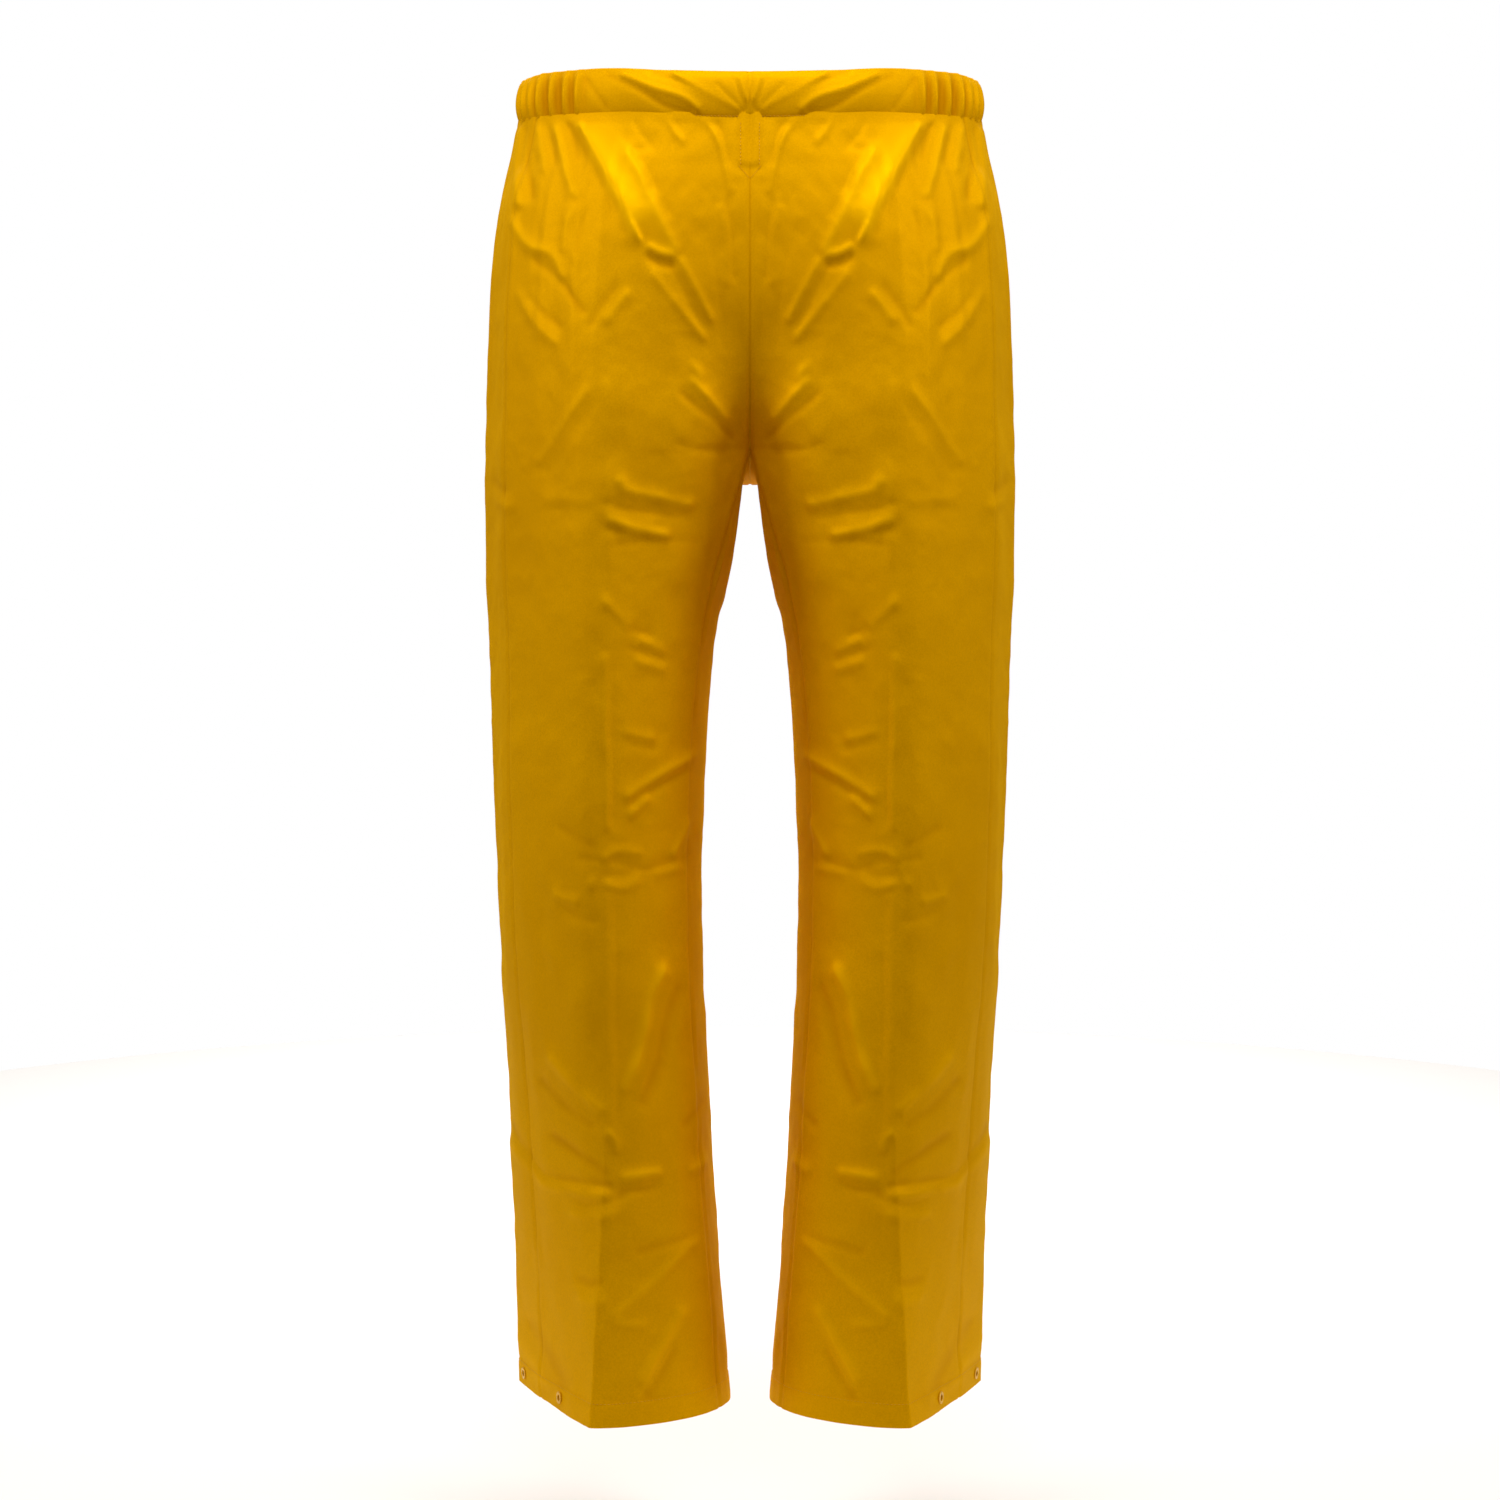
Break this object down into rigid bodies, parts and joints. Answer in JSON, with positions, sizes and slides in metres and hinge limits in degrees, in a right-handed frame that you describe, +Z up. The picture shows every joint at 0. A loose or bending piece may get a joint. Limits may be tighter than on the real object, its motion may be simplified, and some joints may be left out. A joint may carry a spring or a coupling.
{
  "type": "waterproof over-trousers",
  "caption": "Yellow coated pull-on rain trousers with a gathered elastic waist, centre front seam, straight legs and press-stud ankles.",
  "frame": {"origin": "middle of the waist opening, level with the top of the waistband's front", "axes": "+Z up the trousers, -Y out of the front, +X towards the wearer's left"},
  "size_m": [0.4468, 0.2859, 1.1241],
  "materials": {
    "shell_fabric": "bright yellow coated polyester, semi-matt with a soft waxy sheen and a very fine plain weave",
    "seam_tape": "translucent heat-bonded film over the seam allowance, slightly glossy",
    "elastic_webbing": "ribbed off-white knitted elastic",
    "label": "blank white satin tape",
    "stud_enamel": "yellow enamelled brass, glossy"
  },
  "bodies": {
    "seat": {"waist_elastic": "elastic_webbing", "care_label": "label", "front_rise_tape": "seam_tape", "back_rise_tape": "seam_tape", "left_front_waistband": "shell_fabric", "right_front_waistband": "shell_fabric", "left_back_waistband": "shell_fabric", "right_back_waistband": "shell_fabric", "left_front_seat_panel": "shell_fabric", "right_front_seat_panel": "shell_fabric", "left_back_seat_panel": "shell_fabric", "right_back_seat_panel": "shell_fabric", "left_front_hip_fold": "shell_fabric", "right_front_hip_fold": "shell_fabric", "left_back_hip_fold": "shell_fabric", "right_back_hip_fold": "shell_fabric"},
    "left_thigh": {"left_front_thigh_panel": "shell_fabric", "left_back_thigh_panel": "shell_fabric", "left_front_knee_fold": "shell_fabric", "left_back_knee_fold": "shell_fabric", "left_thigh_outseam_tape": "seam_tape", "left_thigh_inseam_tape": "seam_tape"},
    "left_shin": {"left_front_shin_panel": "shell_fabric", "left_back_shin_panel": "shell_fabric", "left_front_hem_turn_up": "shell_fabric", "left_back_hem_turn_up": "shell_fabric", "left_shin_outseam_tape": "seam_tape", "left_shin_inseam_tape": "seam_tape", "left_socket_ring": "stud_enamel", "left_stud_socket": "stud_enamel", "left_stud_ring": "stud_enamel", "left_stud_post": "stud_enamel"},
    "right_thigh": {"right_front_thigh_panel": "shell_fabric", "right_back_thigh_panel": "shell_fabric", "right_front_knee_fold": "shell_fabric", "right_back_knee_fold": "shell_fabric", "right_thigh_outseam_tape": "seam_tape", "right_thigh_inseam_tape": "seam_tape"},
    "right_shin": {"right_front_shin_panel": "shell_fabric", "right_back_shin_panel": "shell_fabric", "right_front_hem_turn_up": "shell_fabric", "right_back_hem_turn_up": "shell_fabric", "right_shin_outseam_tape": "seam_tape", "right_shin_inseam_tape": "seam_tape", "right_socket_ring": "stud_enamel", "right_stud_socket": "stud_enamel", "right_stud_ring": "stud_enamel", "right_stud_post": "stud_enamel"}
  },
  "joints": [
    {"name": "left_hip", "type": "hinge", "parent": "seat", "child": "left_thigh", "pos_m": [0.115, -0.0135, -0.3], "axis": [-1, 0, 0], "range_deg": [-20, 70], "deforming": ["left_front_hip_fold", "left_back_hip_fold"]},
    {"name": "left_knee", "type": "hinge", "parent": "left_thigh", "child": "left_shin", "pos_m": [0.115, -0.019, -0.63], "axis": [1, 0, 0], "range_deg": [0, 80], "deforming": ["left_front_knee_fold", "left_back_knee_fold"]},
    {"name": "right_hip", "type": "hinge", "parent": "seat", "child": "right_thigh", "pos_m": [-0.115, -0.0135, -0.3], "axis": [-1, 0, 0], "range_deg": [-20, 70], "deforming": ["right_front_hip_fold", "right_back_hip_fold"]},
    {"name": "right_knee", "type": "hinge", "parent": "right_thigh", "child": "right_shin", "pos_m": [-0.115, -0.019, -0.63], "axis": [1, 0, 0], "range_deg": [0, 80], "deforming": ["right_front_knee_fold", "right_back_knee_fold"]}
  ]
}
